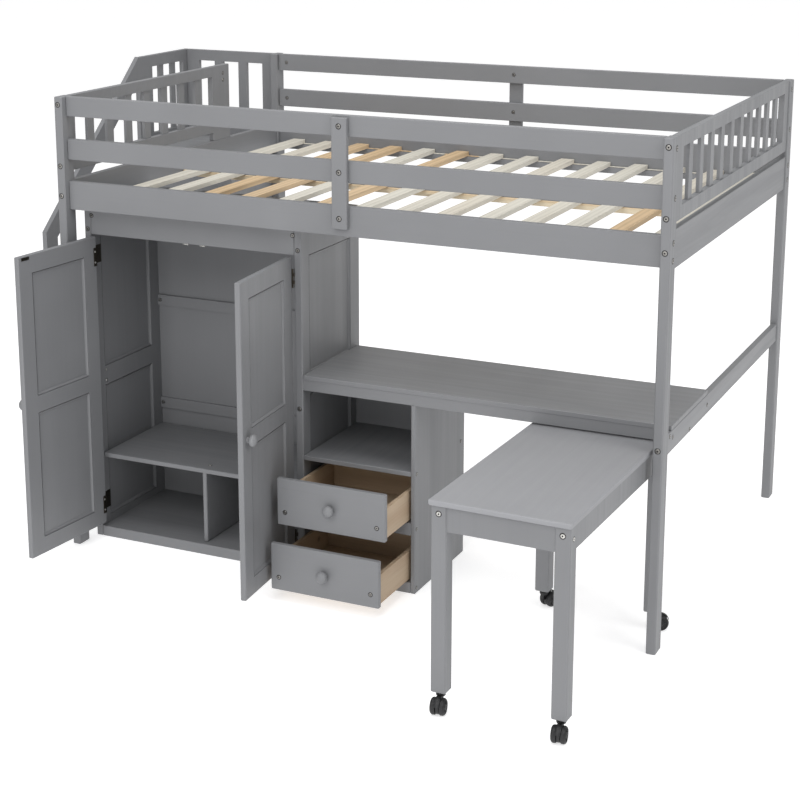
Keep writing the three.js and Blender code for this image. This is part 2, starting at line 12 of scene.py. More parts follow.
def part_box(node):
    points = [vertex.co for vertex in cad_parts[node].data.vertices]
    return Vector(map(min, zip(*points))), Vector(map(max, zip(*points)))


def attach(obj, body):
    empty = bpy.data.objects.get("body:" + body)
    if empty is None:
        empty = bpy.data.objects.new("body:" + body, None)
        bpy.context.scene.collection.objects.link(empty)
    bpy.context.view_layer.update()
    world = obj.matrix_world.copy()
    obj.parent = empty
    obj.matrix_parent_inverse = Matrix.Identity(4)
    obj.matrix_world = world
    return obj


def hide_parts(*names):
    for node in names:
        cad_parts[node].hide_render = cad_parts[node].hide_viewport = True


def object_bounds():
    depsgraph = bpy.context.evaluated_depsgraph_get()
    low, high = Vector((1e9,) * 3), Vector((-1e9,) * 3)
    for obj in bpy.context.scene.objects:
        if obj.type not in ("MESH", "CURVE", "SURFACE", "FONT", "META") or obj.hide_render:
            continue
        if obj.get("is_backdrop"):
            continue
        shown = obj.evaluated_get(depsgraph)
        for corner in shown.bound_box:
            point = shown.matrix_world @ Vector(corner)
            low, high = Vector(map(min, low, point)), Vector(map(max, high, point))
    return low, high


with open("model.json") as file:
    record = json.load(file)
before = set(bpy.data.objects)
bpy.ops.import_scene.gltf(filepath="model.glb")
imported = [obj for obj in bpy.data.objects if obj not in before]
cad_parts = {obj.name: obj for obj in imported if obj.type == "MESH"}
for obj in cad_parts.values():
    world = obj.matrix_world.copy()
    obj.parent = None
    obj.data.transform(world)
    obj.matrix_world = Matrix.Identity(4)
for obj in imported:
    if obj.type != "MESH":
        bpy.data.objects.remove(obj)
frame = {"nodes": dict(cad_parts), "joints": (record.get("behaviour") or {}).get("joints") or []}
cad_low, cad_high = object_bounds()
joints = {joint["name"]: joint for joint in frame["joints"]}

X, Y, Z = range(3)
UP = (0, 0, 1)
FORWARD, BACKWARD = (0, -1, 0), (0, 1, 0)
RIGHTWARD = (1, 0, 0)


# ---------------------------------------------------------------- materials

class Graph:
    """A small helper that adds nodes to one material."""

    def __init__(self, name):
        self.material = bpy.data.materials.new(name)
        self.material.use_nodes = True
        self.nodes = self.material.node_tree.nodes
        self.links = self.material.node_tree.links
        self.nodes.clear()
        self.shader = self.add("ShaderNodeBsdfPrincipled")
        output = self.add("ShaderNodeOutputMaterial")
        self.links.new(self.shader.outputs[0], output.inputs[0])
        self.place = self.add("ShaderNodeTexCoord").outputs["Object"]

    def add(self, kind, **settings):
        node = self.nodes.new(kind)
        for key, value in settings.items():
            setattr(node, key, value)
        return node

    def feed(self, socket, value):
        """Links a socket to another one, or sets it to a constant."""
        if isinstance(value, bpy.types.NodeSocket):
            self.links.new(value, socket)
        else:
            socket.default_value = value

    def stretched(self, scale, offset=(0, 0, 0)):
        """Object coordinates, scaled and moved."""
        node = self.add("ShaderNodeMapping")
        self.links.new(self.place, node.inputs["Vector"])
        node.inputs["Scale"].default_value = scale
        node.inputs["Location"].default_value = offset
        return node.outputs[0]

    def grained(self, axis, across, lengthwise, offset=(0, 0, 0)):
        """Coordinates that draw a pattern out along one axis, in cycles a metre."""
        scale = [across, across, across]
        scale["XYZ".index(axis)] = lengthwise
        return self.stretched(scale, offset)

    def even(self, cycles, offset=(0, 0, 0)):
        """Coordinates with the same cycles a metre on every axis."""
        return self.stretched((cycles, cycles, cycles), offset)

    def noise(self, vector, detail, roughness=0.55, distortion=0.0):
        node = self.add("ShaderNodeTexNoise")
        self.links.new(vector, node.inputs["Vector"])
        node.inputs["Scale"].default_value = 1.0
        node.inputs["Detail"].default_value = detail
        node.inputs["Roughness"].default_value = roughness
        node.inputs["Distortion"].default_value = distortion
        return node.outputs["Fac"]

    def math(self, operation, a, b=0.0, clamp=False):
        node = self.add("ShaderNodeMath", operation=operation, use_clamp=clamp)
        self.feed(node.inputs[0], a)
        self.feed(node.inputs[1], b)
        return node.outputs[0]

    def span(self, value, low, high, out_low, out_high):
        """Maps low..high to out_low..out_high and holds it there outside."""
        node = self.add("ShaderNodeMapRange")
        self.feed(node.inputs["Value"], value)
        limits = {"From Min": low, "From Max": high, "To Min": out_low, "To Max": out_high}
        for key, number in limits.items():
            node.inputs[key].default_value = number
        return node.outputs[0]

    def mix(self, factor, a, b):
        node = self.add("ShaderNodeMix", data_type="RGBA")
        self.feed(node.inputs["Factor"], factor)
        self.feed(node.inputs["A"], a)
        self.feed(node.inputs["B"], b)
        return node.outputs["Result"]

    def bump(self, height, strength, distance):
        node = self.add("ShaderNodeBump")
        node.inputs["Strength"].default_value = strength
        node.inputs["Distance"].default_value = distance
        self.links.new(height, node.inputs["Height"])
        return node.outputs[0]

    def finish(self, color, roughness, normal=None, metallic=0.0, specular=0.5):
        self.feed(self.shader.inputs["Base Color"], color)
        self.feed(self.shader.inputs["Roughness"], roughness)
        self.shader.inputs["Metallic"].default_value = metallic
        self.shader.inputs["Specular IOR Level"].default_value = specular
        if normal is not None:
            self.links.new(normal, self.shader.inputs["Normal"])
        return self.material


def shade(tone, factor=1.0, lift=0.0):
    """A tone as RGBA, made lighter or darker and held at 1."""
    return tuple(min(1.0, c * factor + lift) for c in tone) + (1.0,)


def edge_mask(g, radius):
    """1 on edges and 0 on flats, from how far the rounded normal leans from the true one."""
    flat_cosine, edge_cosine = 0.995, 0.75
    rounded = g.add("ShaderNodeBevel", samples=4)
    rounded.inputs["Radius"].default_value = radius
    true = g.add("ShaderNodeNewGeometry")
    dot = g.add("ShaderNodeVectorMath", operation="DOT_PRODUCT")
    g.links.new(rounded.outputs[0], dot.inputs[0])
    g.links.new(true.outputs["True Normal"], dot.inputs[1])
    return g.span(dot.outputs["Value"], flat_cosine, edge_cosine, 0.0, 1.0)


def painted_wood(name, axis, tone, seed):
    """Sprayed paint over planed pine: grain telegraphs through, edges rub lighter."""
    worn_edge = 0.0022
    relief, relief_depth = 0.15, 0.0006
    g = Graph(name)
    shift = (seed * 1.7, seed * 0.9, seed * 2.3)
    grain = g.noise(g.grained(axis, 150.0, 3.0, shift), 6.0, 0.6, 0.4)
    rings = g.noise(g.grained(axis, 26.0, 0.9, shift), 3.0, 0.5, 1.2)
    cloud = g.noise(g.even(2.4, shift), 3.0)
    peel = g.noise(g.even(900.0), 1.0)
    body = g.mix(g.span(cloud, 0.3, 0.7, 0.0, 1.0), shade(tone, 0.955), shade(tone, 1.045))
    pores = g.span(grain, 0.56, 0.74, 0.0, 0.11)
    body = g.mix(pores, body, shade(tone, 0.72))
    rub = g.math("MULTIPLY", edge_mask(g, worn_edge), g.span(rings, 0.35, 0.62, 0.12, 0.55))
    body = g.mix(rub, body, shade(tone, 1.32, 0.02))
    height = g.math("ADD", g.math("MULTIPLY", grain, 0.6), g.math("MULTIPLY", rings, 0.9))
    height = g.math("ADD", height, g.math("MULTIPLY", peel, 0.12))
    gloss = g.span(rings, 0.3, 0.7, 0.42, 0.56)
    return g.finish(body, gloss, g.bump(height, relief, relief_depth), specular=0.4)


# the slats lie at one pitch, and these numbers count them from the left
SLAT_PITCH = 0.138
SLAT_LEAD = 0.044
HONEY_NEAR, HONEY_FAR = (2, 3, 5, 12), (2, 3, 5)
SLAT_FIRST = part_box("slats_front")[0].x - SLAT_LEAD
# painted shade: the faces below this height, at the slats' foot and on the straps under them, take the dark
# tone below
SLAT_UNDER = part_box("slats_front")[0].z + 0.0019  # below this a slat is in shade
UNDERSIDE_SHADE = (0.16, 0.155, 0.15)


def grain_vector(g, axis, turned, across, lengthwise, shift):
    """Coordinates along the grain. It runs along turned, if given, on faces that look along x."""
    vector = g.grained(axis, across, lengthwise, shift)
    if not turned:
        return vector
    facing = g.add("ShaderNodeSeparateXYZ")
    g.links.new(g.add("ShaderNodeNewGeometry").outputs["True Normal"], facing.inputs[0])
    sideways = g.math("GREATER_THAN", g.math("ABSOLUTE", facing.outputs["X"]), 0.6)
    pick = g.add("ShaderNodeMix", data_type="VECTOR")
    vector_a, vector_b, vector_out = pick.inputs[4], pick.inputs[5], pick.outputs[1]
    g.links.new(sideways, pick.inputs["Factor"])
    g.links.new(vector, vector_a)
    g.links.new(g.grained(turned, across, lengthwise, shift), vector_b)
    return vector_out


def slat_tones(g, place, honey_slats, seed, vector):
    """How honey-coloured each slat is, and the vector moved so that no two slats have one pattern."""
    number = g.math("FLOOR", g.math("DIVIDE", g.math("SUBTRACT", place["X"], SLAT_FIRST), SLAT_PITCH))
    random = g.add("ShaderNodeTexWhiteNoise", noise_dimensions="1D")
    g.links.new(g.math("ADD", number, seed * 7.0), random.inputs["W"])
    jump = g.add("ShaderNodeVectorMath", operation="ADD")
    g.links.new(vector, jump.inputs[0])
    g.links.new(random.outputs["Color"], jump.inputs[1])
    honey = 0.0
    for slat in honey_slats:
        near = g.math("COMPARE", number, float(slat))
        near.node.inputs[2].default_value = 0.4
        honey = g.math("ADD", honey, near, clamp=True)
    per_slat = g.span(random.outputs["Value"], 0.0, 1.0, -0.10, 0.14)
    return g.math("ADD", honey, per_slat, clamp=True), jump.outputs[0]


def pine(name, axis, pale, deep, seed, honey_slats=(), turned=None):
    """Planed pine with growth rings and knots. With honey_slats, each slat has its own tone and a painted
    shade at its foot.
    """
    g = Graph(name)
    shift = (seed * 3.1, seed * 1.3, seed * 0.7)
    ring_vector = grain_vector(g, axis, turned, 17.0, 0.55, shift)
    low, high = shade(pale), shade(deep)
    if honey_slats:
        split = g.add("ShaderNodeSeparateXYZ")
        g.links.new(g.place, split.inputs[0])
        tone, ring_vector = slat_tones(g, split.outputs, honey_slats, seed, ring_vector)
        low = g.mix(tone, low, high)
        high = g.mix(tone, shade(pale, 0.80), shade(deep, 0.66))
    rings = g.add("ShaderNodeTexWave", wave_type="RINGS", rings_direction=axis)
    rings.inputs["Scale"].default_value = 0.35 if turned else 1.1
    rings.inputs["Distortion"].default_value = 6.0
    rings.inputs["Detail"].default_value = 3.0
    rings.inputs["Detail Scale"].default_value = 0.8
    g.links.new(ring_vector, rings.inputs["Vector"])
    fibre = g.noise(grain_vector(g, axis, turned, 320.0, 5.0, shift), 5.0, 0.6)
    knots = g.add("ShaderNodeTexVoronoi", feature="F1")
    knots.inputs["Scale"].default_value = 1.0
    g.links.new(g.grained(axis, 9.0, 2.6, shift), knots.inputs["Vector"])
    knot = g.span(knots.outputs["Distance"], 0.05, 0.13, 1.0, 0.0)
    body = g.mix(g.span(rings.outputs["Fac"], 0.2, 0.9, 0.0, 0.5), low, high)
    body = g.mix(g.span(fibre, 0.5, 0.8, 0.0, 0.28), body, shade(deep, 0.55))
    body = g.mix(g.math("MULTIPLY", knot, 0.75), body, shade(deep, 0.3))
    if honey_slats:
        # painted shade on the faces at the slats' foot and on the straps under them
        body = g.mix(g.math("LESS_THAN", split.outputs["Z"], SLAT_UNDER), body, shade(UNDERSIDE_SHADE))
    height = g.math("ADD", g.math("MULTIPLY", rings.outputs["Fac"], 0.5), fibre)
    gloss = g.span(fibre, 0.3, 0.7, 0.55, 0.72)
    return g.finish(body, gloss, g.bump(height, 0.3, 0.0005), specular=0.35)


def moulded(name, tone, rough):
    """Moulded plastic: fine spark-eroded texture, slight flow marks and scuffed edges."""
    scuffed_edge = 0.0012
    g = Graph(name)
    fine = g.noise(g.even(1400.0), 2.0)
    flow = g.noise(g.grained("Z", 40.0, 12.0), 3.0, 0.5, 0.8)
    body = g.mix(g.span(flow, 0.3, 0.7, 0.0, 1.0), shade(tone, 0.8), shade(tone, 1.35))
    scuff = g.math("MULTIPLY", edge_mask(g, scuffed_edge), 0.35)
    body = g.mix(scuff, body, shade(tone, 4.0, 0.02))
    gloss = g.span(fine, 0.3, 0.7, rough - 0.06, rough + 0.08)
    return g.finish(body, gloss, g.bump(fine, 0.2, 0.0002))


def plated(name, tone, rough):
    """Plated steel: brushed, with dull spots."""
    g = Graph(name)
    brush = g.noise(g.grained("Z", 1800.0, 90.0), 4.0)
    spots = g.noise(g.even(260.0), 3.0)
    body = g.mix(g.span(spots, 0.4, 0.7, 0.0, 1.0), shade(tone), shade(tone, 0.6))
    gloss = g.span(brush, 0.3, 0.7, rough - 0.08, rough + 0.12)
    return g.finish(body, gloss, g.bump(brush, 0.15, 0.0001), metallic=1.0)


GREY = (0.186, 0.189, 0.197)
PALE_GREY = (0.250, 0.253, 0.266)
PALE_PINE, HONEY_PINE = (0.60, 0.575, 0.505), (0.58, 0.42, 0.25)
BEAM_PALE, BEAM_DEEP = (0.70, 0.60, 0.44), (0.58, 0.40, 0.22)
DRAWER_PALE, DRAWER_DEEP = (0.45, 0.345, 0.24), (0.375, 0.265, 0.175)
grey_x = painted_wood("grey_paint_along_x", "X", GREY, 1.0)
grey_y = painted_wood("grey_paint_along_y", "Y", GREY, 2.0)
grey_z = painted_wood("grey_paint_upright", "Z", GREY, 3.0)
table_grey = painted_wood("pale_grey_table", "Y", PALE_GREY, 4.0)
slats_near = pine("slat_pine_near", "Y", PALE_PINE, HONEY_PINE, 5.0, HONEY_NEAR)
slats_far = pine("slat_pine_far", "Y", PALE_PINE, HONEY_PINE, 6.0, HONEY_FAR)
beam_pine = pine("beam_pine", "X", BEAM_PALE, BEAM_DEEP, 7.0)
drawer_pine = pine("drawer_pine", "X", DRAWER_PALE, DRAWER_DEEP, 8.0, turned="Y")
black = moulded("caster_plastic", (0.0042, 0.0042, 0.0052), 0.46)
tyre_black = moulded("caster_tread", (0.0050, 0.0050, 0.0060), 0.5)
steel = plated("plated_steel", (0.62, 0.61, 0.58), 0.3)
bolt_steel = plated("bolt_steel", (0.30, 0.29, 0.275), 0.35)
dark_metal = plated("dark_hinge_metal", (0.085, 0.075, 0.06), 0.38)
# painted shade: a near-black tone on the groove faces round the recessed fields, for the shadow in the groove
groove_shade = moulded("painted_groove_shade", (0.035, 0.036, 0.038), 0.7)
# painted shadow: the near-black tone of bolt flanges and sockets, for the shade in counterbores and sockets
socket_shade = moulded("socket_shadow", (0.006, 0.006, 0.006), 0.7)

UPRIGHT_GRAIN = ("wardrobe_side", "wardrobe_door", "end_guard", "landing_guard", "table_frame",
                 "wardrobe_back", "stair_handrail", "cabinet_side", "cabinet_back")


def node_material(name):
    """The finish of a CAD node, with the grain along its boards."""
    own = {"slats_front": slats_near, "slats_rear": slats_far, "centre_beam": beam_pine,
           "table_top": table_grey}
    if name in own:
        return own[name]
    if name.startswith("drawer_box"):
        return drawer_pine
    if name.startswith("caster"):
        return black
    if name.startswith(UPRIGHT_GRAIN):
        return grey_z
    low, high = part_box(name)
    longest = max(range(3), key=lambda axis: high[axis] - low[axis])
    return (grey_x, grey_y, grey_z)[longest]


for node_name, node in frame["nodes"].items():
    node.data.materials.clear()
    node.data.materials.append(node_material(node_name))


# ---------------------------------------------------------------- mesh helpers

SMOOTH_BELOW = math.radians(38)


def piece(name, bm, material, body, smooth=False, extra=()):
    """Turns a bmesh into a piece that rides on a body."""
    bmesh.ops.recalc_face_normals(bm, faces=bm.faces)
    mesh = bpy.data.meshes.new(name)
    bm.to_mesh(mesh)
    bm.free()
    mesh.materials.append(material)
    for other in extra:
        mesh.materials.append(other)
    obj = bpy.data.objects.new(name, mesh)
    bpy.context.scene.collection.objects.link(obj)
    if smooth:
        for polygon in mesh.polygons:
            polygon.use_smooth = True
        mesh.set_sharp_from_angle(angle=SMOOTH_BELOW)
    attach(obj, body)
    return obj


def pointing(direction):
    """Rotation whose +Z is the given direction."""
    return Vector(direction).to_track_quat("Z", "Y").to_matrix().to_4x4()


def lathe(bm, profile, matrix, sides, material=0):
    """Closed solid turned about local Z. profile is (radius, height) from one end to the other."""
    rings = []
    for radius, height in profile:
        if radius == 0:
            rings.append([bm.verts.new(matrix @ Vector((0, 0, height)))])
            continue
        turns = [2 * math.pi * i / sides for i in range(sides)]
        rings.append([bm.verts.new(matrix @ Vector((radius * math.cos(t), radius * math.sin(t), height)))
                      for t in turns])
    for a, b in zip(rings, rings[1:]):
        for i in range(sides):
            j = (i + 1) % sides
            corners = [a[i % len(a)], a[j % len(a)], b[j % len(b)], b[i % len(b)]]
            unique = list(dict.fromkeys(corners))
            if len(unique) > 2:
                bm.faces.new(unique).material_index = material
    for ring in (rings[0], rings[-1]):
        if len(ring) > 2:
            bm.faces.new(ring).material_index = material


def slab(bm, corner, opposite, matrix=Matrix(), chamfer=0.0004):
    """Rectangular plate with chamfered edges, between two opposite corners."""
    spans = [sorted(pair) for pair in zip(corner, opposite)]
    size = [high - low for low, high in spans]
    centre = Vector([(low + high) / 2 for low, high in spans])
    made = bmesh.ops.create_cube(bm, size=1.0)
    for vert in made["verts"]:
        vert.co = matrix @ (Vector([c * s for c, s in zip(vert.co, size)]) + centre)
    edges = list({edge for vert in made["verts"] for edge in vert.link_edges})
    bmesh.ops.bevel(bm, geom=edges, offset=chamfer, segments=2, affect="EDGES", profile=0.5)


def mid(node, axis):
    low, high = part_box(node)
    return (low[axis] + high[axis]) / 2


# ---------------------------------------------------------------- bolts and screws

POST_BOLT, CASE_BOLT, DRAWER_BOLT = 0.0068, 0.0058, 0.0058
SCREW, CABINET_SCREW = 0.0052, 0.0046
BOLT_SIDES = 24
BOLT_PROUD = 0.0016
BOLT_SUNK = 0.0002
FLANGE_TOP = 0.0003


def hexagon_reach(corner, turn):
    """Distance from a hexagon's centre to its side at an angle. corner is the distance to a corner."""
    off_flat = (turn + math.pi / 6) % (math.pi / 3) - math.pi / 6
    return corner * math.cos(math.pi / 6) / math.cos(off_flat)


def socket_bolt(bm, at, direction, radius):
    """Flanged bolt head with a hexagon socket. The flange's rim and the socket are dark, a painted shadow."""
    place = Matrix.Translation(at) @ pointing(direction)
    turns = [2 * math.pi * i / BOLT_SIDES for i in range(BOLT_SIDES)]
    flange = radius * 1.32
    outline = ((flange, -BOLT_SUNK), (flange, FLANGE_TOP), (radius, FLANGE_TOP),
               (radius * 0.96, BOLT_PROUD * 0.55), (radius * 0.82, BOLT_PROUD), (radius * 0.6, BOLT_PROUD))
    loops = [([reach] * BOLT_SIDES, height) for reach, height in outline]
    socket = [hexagon_reach(radius * 0.42, turn) for turn in turns]
    loops += [(socket, BOLT_PROUD), (socket, BOLT_PROUD * 0.3)]
    rings = [[bm.verts.new(place @ Vector((reach * math.cos(turn), reach * math.sin(turn), height)))
              for reach, turn in zip(reaches, turns)] for reaches, height in loops]
    rim_ends, socket_starts = 2, len(outline)
    for index, (a, b) in enumerate(zip(rings, rings[1:])):
        # the flange's rim and the socket take the painted shadow material
        dark = index < rim_ends or index >= socket_starts
        for i in range(BOLT_SIDES):
            j = (i + 1) % BOLT_SIDES
            bm.faces.new((a[i], a[j], b[j], b[i])).material_index = int(dark)
    bm.faces.new(rings[-1]).material_index = 1
    bm.faces.new(rings[0]).material_index = 0


def bolts(name, places, direction, body="frame", radius=POST_BOLT):
    bm = bmesh.new()
    for at in places:
        socket_bolt(bm, Vector(at), direction, radius)
    return piece(name, bm, bolt_steel, body, smooth=True, extra=(socket_shade,))


OUTWARD = {"front": -1, "rear": 1, "left": -1, "right": 1}
END_TOP_DROP, END_FOOT_RISE = 0.025, 0.020
DECK_TOP_DROP, DECK_FOOT_RISE, STILE_RISE = 0.022, 0.020, 0.010

post = {place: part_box(f"post_{place}") for place in ("front_left", "front_right", "rear_left", "rear_right")}
rail_z = {node: mid(node, Z) for node in (
    "guard_front_upper", "guard_front_lower", "guard_rear_upper", "guard_rear_lower",
    "deck_rail_left", "deck_rail_right", "desk_crossbar")}
deck_low, deck_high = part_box("deck_rail_front")
end_foot_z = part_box("end_guard_right")[0].z + END_FOOT_RISE


def post_bolts(side, end):
    """The bolts through one post: a row into the end of the bed and a row into its long rails."""
    low, high = post[f"{end}_{side}"]
    x = (low.x + high.x) / 2
    y = low.y if end == "front" else high.y
    deck = rail_z[f"deck_rail_{side}"]
    if (side, end) == ("left", "rear"):
        heights = [deck]
    else:
        heights = [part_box(f"end_guard_{side}")[1].z - END_TOP_DROP, end_foot_z, deck]
        if side == "right":
            heights.append(rail_z["desk_crossbar"])
    bolts(f"post_bolts_{end}_{side}_end", [(x, y, z) for z in heights], (0, OUTWARD[end], 0))
    face = low.x if side == "left" else high.x
    rail_y = mid(f"guard_{end}_upper", Y)
    heights = [rail_z[f"guard_{end}_upper"], rail_z[f"guard_{end}_lower"],
               deck_high.z - DECK_TOP_DROP, deck_low.z + DECK_FOOT_RISE]
    bolts(f"post_bolts_{end}_{side}_rail", [(face, rail_y, z) for z in heights], (OUTWARD[side], 0, 0))


for side in ("left", "right"):
    for end in ("front", "rear"):
        post_bolts(side, end)

# guard stiles, with screws on the inner face of the rear one
stile_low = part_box("guard_front_stile")[0]
stile_x = mid("guard_front_stile", X)
stile_heights = [rail_z["guard_front_upper"], rail_z["guard_front_lower"],
                 (deck_low.z + deck_high.z) / 2 + STILE_RISE]
bolts("guard_stile_bolts_front", [(stile_x, stile_low.y, z) for z in stile_heights], FORWARD)
rear_x = mid("guard_rear_stile", X)
rear_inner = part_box("guard_rear_upper")[0].y
rear_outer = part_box("guard_rear_stile")[1].y
rear_rails = (rail_z["guard_rear_upper"], rail_z["guard_rear_lower"])
bolts("guard_stile_screws_rear", [(rear_x, rear_inner, z) for z in rear_rails], FORWARD, radius=SCREW)
bolts("guard_stile_bolts_rear", [(rear_x, rear_outer, z) for z in stile_heights], BACKWARD)

# screws through the inner face of the rear guard rails, beside the rear left post
RAIL_END_INSET = 0.035
rail_end = post["rear_left"][1].x + RAIL_END_INSET
bolts("rear_guard_screws", [(rail_end, rear_inner, z) for z in rear_rails], FORWARD, radius=SCREW)

END_SCREW_INSET, END_SCREW_DROPS = 0.045, (0.030, 0.055)
guard_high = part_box("end_guard_left")[1]
end_screw_y = guard_high.y - END_SCREW_INSET
end_screws = [(guard_high.x, end_screw_y, guard_high.z - drop) for drop in END_SCREW_DROPS]
bolts("end_guard_bolts_left", end_screws, RIGHTWARD, radius=SCREW)

# crossbar: back from the desk's front edge, and up from the bar's foot
CROSSBAR_SCREWS = ((0.016, 0.039), (0.196, 0.008), (0.389, 0.028))
POST_SCREW_BACK, POST_SCREW_DROP = 0.030, 0.012
bar_low, bar_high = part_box("desk_crossbar")
desk_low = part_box("desk_top")[0]
bar_screws = [(bar_high.x, desk_low.y + back, bar_low.z + up) for back, up in CROSSBAR_SCREWS]
bar_screws.append((bar_high.x, post["front_right"][1].y + POST_SCREW_BACK, bar_high.z - POST_SCREW_DROP))
bolts("desk_crossbar_screws", bar_screws, RIGHTWARD, radius=SCREW)

# wardrobe header and framed sides
HEADER_INSET, HEADER_DROP, HEADER_RISE = 0.004, 0.028, 0.016
SIDE_MIDDLE_Z = 0.552
head_low, head_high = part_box("wardrobe_header")
head_bolts = [(x, head_low.y, head_high.z - HEADER_DROP)
              for x in (head_low.x + HEADER_INSET, head_high.x - HEADER_INSET)]
bolts("wardrobe_header_bolts", head_bolts, FORWARD, radius=CASE_BOLT)
for side in ("left", "right"):
    x = mid(f"wardrobe_side_{side}", X)
    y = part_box(f"wardrobe_side_{side}")[0].y
    bolts(f"wardrobe_side_bolts_{side}", [(x, y, z) for z in (head_low.z + HEADER_RISE, SIDE_MIDDLE_Z)],
          FORWARD, radius=CASE_BOLT)

# cabinet side: three screws down its front edge and one at the back of the shelf
CABINET_FRONT, CABINET_BACK = 0.012, 0.030
SHELF_MIDDLE, CABINET_FOOT_Z = 0.0075, 0.018
cab_low, cab_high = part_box("cabinet_side")
shelf_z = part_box("cubby_shelf")[0].z + SHELF_MIDDLE
cab_screws = [(cab_high.x, cab_low.y + CABINET_FRONT, z)
              for z in (shelf_z, mid("drawer_rail_middle", Z), CABINET_FOOT_Z)]
cab_screws.append((cab_high.x, cab_high.y - CABINET_BACK, shelf_z))
bolts("cabinet_side_screws", cab_screws, RIGHTWARD, radius=CABINET_SCREW)


# ---------------------------------------------------------------- knobs

KNOB_RADIUS, KNOB_LENGTH = 0.0188, 0.031
KNOB_CROWN = KNOB_RADIUS * 0.72
KNOB_FOOT = ((0.0, 0.0), (0.0104, 0.0), (0.0101, 0.0014), (0.0080, 0.0048), (0.0074, 0.0085))
HEAD_FROM = -0.95  # radians round the head, below its widest ring
HEAD_STEPS = 12


def knob(name, at, direction, node, body):
    """Turned wooden knob: flared foot, neck and a round crowned head."""
    bm = bmesh.new()
    profile = list(KNOB_FOOT)
    head = KNOB_LENGTH - KNOB_CROWN
    for i in range(HEAD_STEPS):
        turn = HEAD_FROM + i / HEAD_STEPS * (math.pi / 2 - HEAD_FROM)
        profile.append((KNOB_RADIUS * math.cos(turn), head + KNOB_CROWN * math.sin(turn)))
    profile.append((0.0, KNOB_LENGTH))
    lathe(bm, profile, Matrix.Translation(at) @ pointing(direction), 40)
    obj = piece(name, bm, grey_z, body, smooth=True)
    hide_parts(node)


def door_turn(side):
    """Matrix from the closed door's place to the open place it rests in."""
    joint = joints[f"door_{side}_hinge"]
    low, high = joint["range_deg"]
    closing = high if side == "left" else low
    pin = Vector(joint["pos_m"])
    swing = Matrix.Rotation(-math.radians(closing), 4, "Z")
    return Matrix.Translation(pin) @ swing @ Matrix.Translation(-pin)


def local_box(node, matrix):
    """A node's box in the frame that the matrix carries to the row frame."""
    back = matrix.inverted()
    points = [back @ vert.co for vert in frame["nodes"][node].data.vertices]
    low = Vector([min(point[axis] for point in points) for axis in range(3)])
    high = Vector([max(point[axis] for point in points) for axis in range(3)])
    return low, high


for side in ("left", "right"):
    turn = door_turn(side)
    low, high = local_box(f"door_knob_{side}", turn)
    at = turn @ Vector(((low.x + high.x) / 2, high.y, (low.z + high.z) / 2))
    knob(f"door_knob_{side}_turned", at, turn.to_3x3() @ Vector(FORWARD), f"door_knob_{side}", f"door_{side}")

DRAWER_BOLT_INSET, DRAWER_BOLT_RISE = 0.028, 0.042
for level in ("upper", "lower"):
    low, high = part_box(f"drawer_knob_{level}")
    at = Vector(((low.x + high.x) / 2, high.y, (low.z + high.z) / 2))
    knob(f"drawer_knob_{level}_turned", at, FORWARD, f"drawer_knob_{level}", f"drawer_{level}")
    low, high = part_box(f"drawer_front_{level}")
    places = [(x, low.y, low.z + DRAWER_BOLT_RISE)
              for x in (low.x + DRAWER_BOLT_INSET, high.x - DRAWER_BOLT_INSET)]
    bolts(f"drawer_front_bolts_{level}", places, FORWARD, f"drawer_{level}", DRAWER_BOLT)


# ---------------------------------------------------------------- mouldings round recessed fields

BEAD_WIDTH = 0.009
BEAD_LIFT, FIELD_LIFT = 0.0002, 0.00005  # clear of the frame's edge and of the field
GROOVE_WIDE, GROOVE_SHARE = 0.0018, 0.7  # the share of the recess that the groove goes down
BEAD_CREST = (0.0022, -0.0006)


def bead(bm, matrix, across, upward, face, depth):
    """Mitred bead round a rectangle. across and upward are its spans, face the height of the frame's
    face, and the field lies depth below it. Local axes: across on x, upward on y, out on z."""
    groove = ((BEAD_LIFT, -depth * GROOVE_SHARE), (GROOVE_WIDE, -depth * GROOVE_SHARE), BEAD_CREST)
    slope = ((BEAD_WIDTH * 0.62, -depth * 0.6), (BEAD_WIDTH, -depth + 0.0008))
    foot = ((BEAD_WIDTH, -depth + FIELD_LIFT), (BEAD_LIFT, -depth + FIELD_LIFT))
    loops = []
    for inset, drop in groove + slope + foot:
        left, right = across[0] + inset, across[1] - inset
        bottom, top = upward[0] + inset, upward[1] - inset
        corners = ((left, bottom), (right, bottom), (right, top), (left, top))
        loops.append([bm.verts.new(matrix @ Vector((x, y, face + drop))) for x, y in corners])
    loops.append(loops[0])
    for step, (a, b) in enumerate(zip(loops, loops[1:])):
        # the groove faces take the second material, the painted shade of the groove
        in_groove = step < len(groove) - 1
        for i in range(4):
            j = (i + 1) % 4
            bm.faces.new((a[i], a[j], b[j], b[i])).material_index = int(in_groove)


def facing(out):
    """Rotation with local z along the level direction out, and local y up."""
    up, out = Vector(UP), Vector(out)
    return Matrix((up.cross(out), up, out)).transposed().to_4x4()


def spread(start, end, way):
    """A span along a world axis, as seen on a local axis that runs the same way or against it."""
    return (start, end) if way > 0 else (-end, -start)


DOOR_STILE, DOOR_RECESS = 0.060, 0.006
DOOR_FIELDS = ((0.109, 0.528), (0.583, 0.983))
SIDE_FRONT_STILE, SIDE_BACK_STILE, SIDE_RECESS = 0.050, 0.066, 0.007
SIDE_FIELDS = {"left": ((0.060, 0.520), (0.585, 1.040)), "right": ((0.060, 0.590), (0.655, 1.040))}

for side in ("left", "right"):
    turn = door_turn(side)
    low, high = local_box(f"wardrobe_door_{side}", turn)
    bm = bmesh.new()
    for y, way in ((low.y, -1), (high.y, 1)):
        across = spread(low.x + DOOR_STILE, high.x - DOOR_STILE, -way)
        for upward in DOOR_FIELDS:
            bead(bm, turn @ facing((0, way, 0)), across, upward, way * y, DOOR_RECESS)
    piece(f"door_mouldings_{side}", bm, grey_z, f"door_{side}", extra=(groove_shade,))

